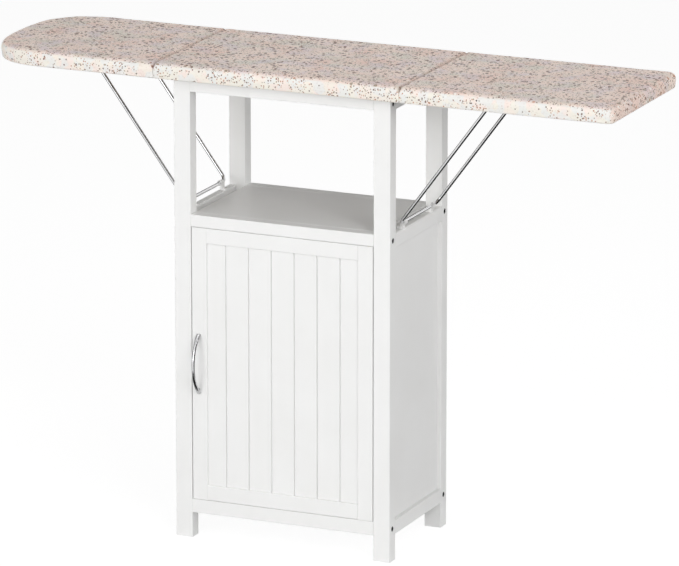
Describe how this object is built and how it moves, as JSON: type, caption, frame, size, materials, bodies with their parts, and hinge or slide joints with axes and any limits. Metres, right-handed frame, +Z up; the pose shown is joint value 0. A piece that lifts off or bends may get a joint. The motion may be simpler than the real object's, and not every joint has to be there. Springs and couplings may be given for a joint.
{
  "type": "ironing board cabinet",
  "caption": "Narrow white cabinet with a bead-board door and an open shelf under a padded ironing board with folding leaves on wire struts.",
  "frame": {"origin": "on the floor, below the middle of the board's whole length and depth", "axes": "+X along the board to the square right leaf, -Y the front with the door, +Z up"},
  "size_m": [1.224, 0.32, 0.88],
  "materials": {
    "white_paint": "satin white paint on wood",
    "plywood": "bare plywood",
    "beech": "bare beech",
    "printed_cloth": "padded cotton cover with a fine speckled print",
    "chrome_wire": "bright chromed wire",
    "chrome_handle": "satin chrome",
    "zinc_steel": "zinc plated",
    "black_steel": "black oxide",
    "brass": "turned brass",
    "white_plastic": "moulded white plastic"
  },
  "bodies": {
    "cabinet": {"front_left_post": "white_paint", "front_right_post": "white_paint", "back_left_post": "white_paint", "back_right_post": "white_paint", "front_top_rail": "white_paint", "back_top_rail": "white_paint", "left_top_rail": "white_paint", "right_top_rail": "white_paint", "front_shelf_rail": "white_paint", "back_shelf_rail": "white_paint", "left_shelf_rail": "white_paint", "right_shelf_rail": "white_paint", "front_bottom_rail": "white_paint", "back_bottom_rail": "white_paint", "left_bottom_rail": "white_paint", "right_bottom_rail": "white_paint", "left_side_panel": "white_paint", "right_side_panel": "white_paint", "back_panel": "white_paint", "bottom_panel": "white_paint", "open_shelf": "white_paint", "inner_shelf": "white_paint", "open_shelf_battens": "white_paint", "inner_shelf_battens": "white_paint", "bottom_battens": "white_paint", "frame_bolts": "black_steel", "barrel_nuts": "zinc_steel", "wood_dowels": "beech", "centre_core": "plywood", "centre_cover": "printed_cloth", "board_screws": "zinc_steel", "hinge_board_plates": "zinc_steel", "hinge_pins": "zinc_steel", "hinge_board_screws": "zinc_steel", "left_strut_clips": "white_plastic", "right_strut_clips": "white_plastic", "magnet_catch": "white_plastic", "door_bushes": "brass"},
    "right_leaf": {"right_leaf_core": "plywood", "right_leaf_cover": "printed_cloth", "right_hinge_plates": "zinc_steel", "right_strut_brackets": "zinc_steel", "right_leaf_screws": "zinc_steel"},
    "right_strut_body": {"right_strut": "chrome_wire"},
    "left_leaf": {"left_leaf_core": "plywood", "left_leaf_cover": "printed_cloth", "left_hinge_plates": "zinc_steel", "left_strut_brackets": "zinc_steel", "left_leaf_screws": "zinc_steel"},
    "left_strut_body": {"left_strut": "chrome_wire"},
    "door": {"door_left_stile": "white_paint", "door_right_stile": "white_paint", "door_top_rail": "white_paint", "door_bottom_rail": "white_paint", "door_panel": "white_paint", "door_handle": "chrome_handle", "handle_screws": "zinc_steel", "door_pivot_pins": "zinc_steel", "strike_plate": "zinc_steel"}
  },
  "joints": [
    {"name": "right_leaf_hinge", "type": "hinge", "parent": "cabinet", "child": "right_leaf", "pos_m": [0.2095, 0, 0.8486], "axis": [0, 1, 0], "range_deg": [0, 90], "deforming": ["right_strut_clips"]},
    {"name": "right_strut_pivot", "type": "hinge", "parent": "right_leaf", "child": "right_strut_body", "pos_m": [0.351, 0, 0.845], "axis": [0, -1, 0], "range_deg": [0, 127]},
    {"name": "left_leaf_hinge", "type": "hinge", "parent": "cabinet", "child": "left_leaf", "pos_m": [-0.2655, 0, 0.8486], "axis": [0, -1, 0], "range_deg": [0, 90], "deforming": ["left_strut_clips"]},
    {"name": "left_strut_pivot", "type": "hinge", "parent": "left_leaf", "child": "left_strut_body", "pos_m": [-0.407, 0, 0.845], "axis": [0, 1, 0], "range_deg": [0, 127]},
    {"name": "door_pivot", "type": "hinge", "parent": "cabinet", "child": "door", "pos_m": [0.14, -0.125, 0.3265], "axis": [0, 0, 1], "range_deg": [0, 110]}
  ],
  "couplings": [
    {"joint": "right_strut_pivot", "follows": "right_leaf_hinge", "ratio": 1.405},
    {"joint": "left_strut_pivot", "follows": "left_leaf_hinge", "ratio": 1.405}
  ]
}
